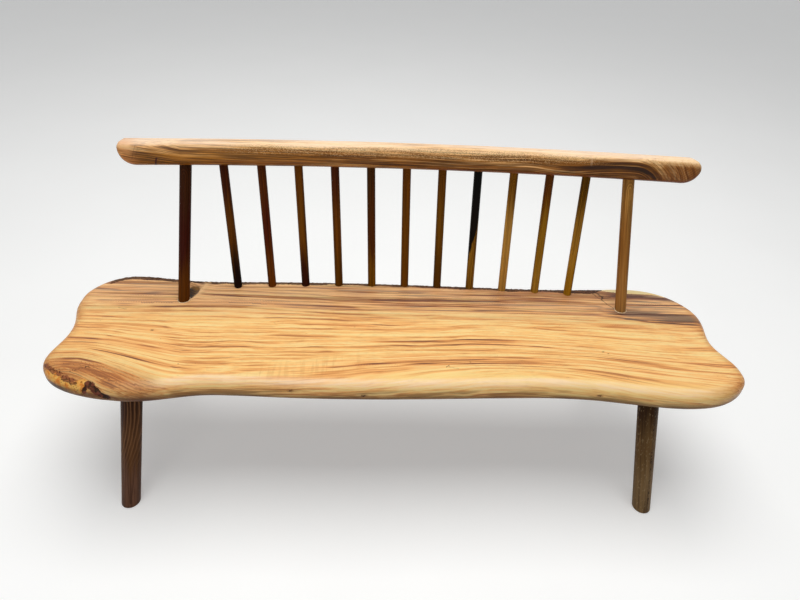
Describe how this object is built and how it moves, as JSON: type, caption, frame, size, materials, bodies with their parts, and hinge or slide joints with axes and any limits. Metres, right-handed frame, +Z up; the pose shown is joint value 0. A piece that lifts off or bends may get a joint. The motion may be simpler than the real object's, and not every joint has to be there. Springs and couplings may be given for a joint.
{
  "type": "park bench",
  "caption": "Live-edge plank bench: a thick waney seat on splayed round legs, with a leaning back of round spindles between end posts under a bowed crest rail.",
  "frame": {"origin": "on the floor, midway between the four feet front to rear and midway along the seat's length", "axes": "+X along the seat to the viewer's right from the front, which is the sitter's left, +Y to the back rest, +Z up; the bench faces -Y"},
  "size_m": [1.8, 0.5732, 0.8678],
  "materials": {
    "seat_wood": "satin clear oil, honey brown with dark streaks and a pale waney edge",
    "crest_wood": "satin clear oil, mid brown",
    "dark_wood": "satin clear oil, dark chocolate brown",
    "brown_wood": "satin clear oil, warm brown",
    "pale_wood": "satin clear oil, golden brown",
    "leg_wood": "satin clear oil, grey brown with dark figure",
    "pale_leg_wood": "satin clear oil, tan"
  },
  "bodies": {
    "root": {"seat_slab": "seat_wood", "crest_rail": "crest_wood", "left_post": "dark_wood", "right_post": "brown_wood", "spindle_01": "dark_wood", "spindle_02": "dark_wood", "spindle_03": "brown_wood", "spindle_04": "dark_wood", "spindle_05": "dark_wood", "spindle_06": "brown_wood", "spindle_07": "brown_wood", "spindle_08": "dark_wood", "spindle_09": "pale_wood", "spindle_10": "pale_wood", "spindle_11": "pale_wood", "leg_front_left": "leg_wood", "leg_front_right": "pale_leg_wood", "leg_rear_left": "leg_wood", "leg_rear_right": "pale_leg_wood"}
  },
  "joints": []
}
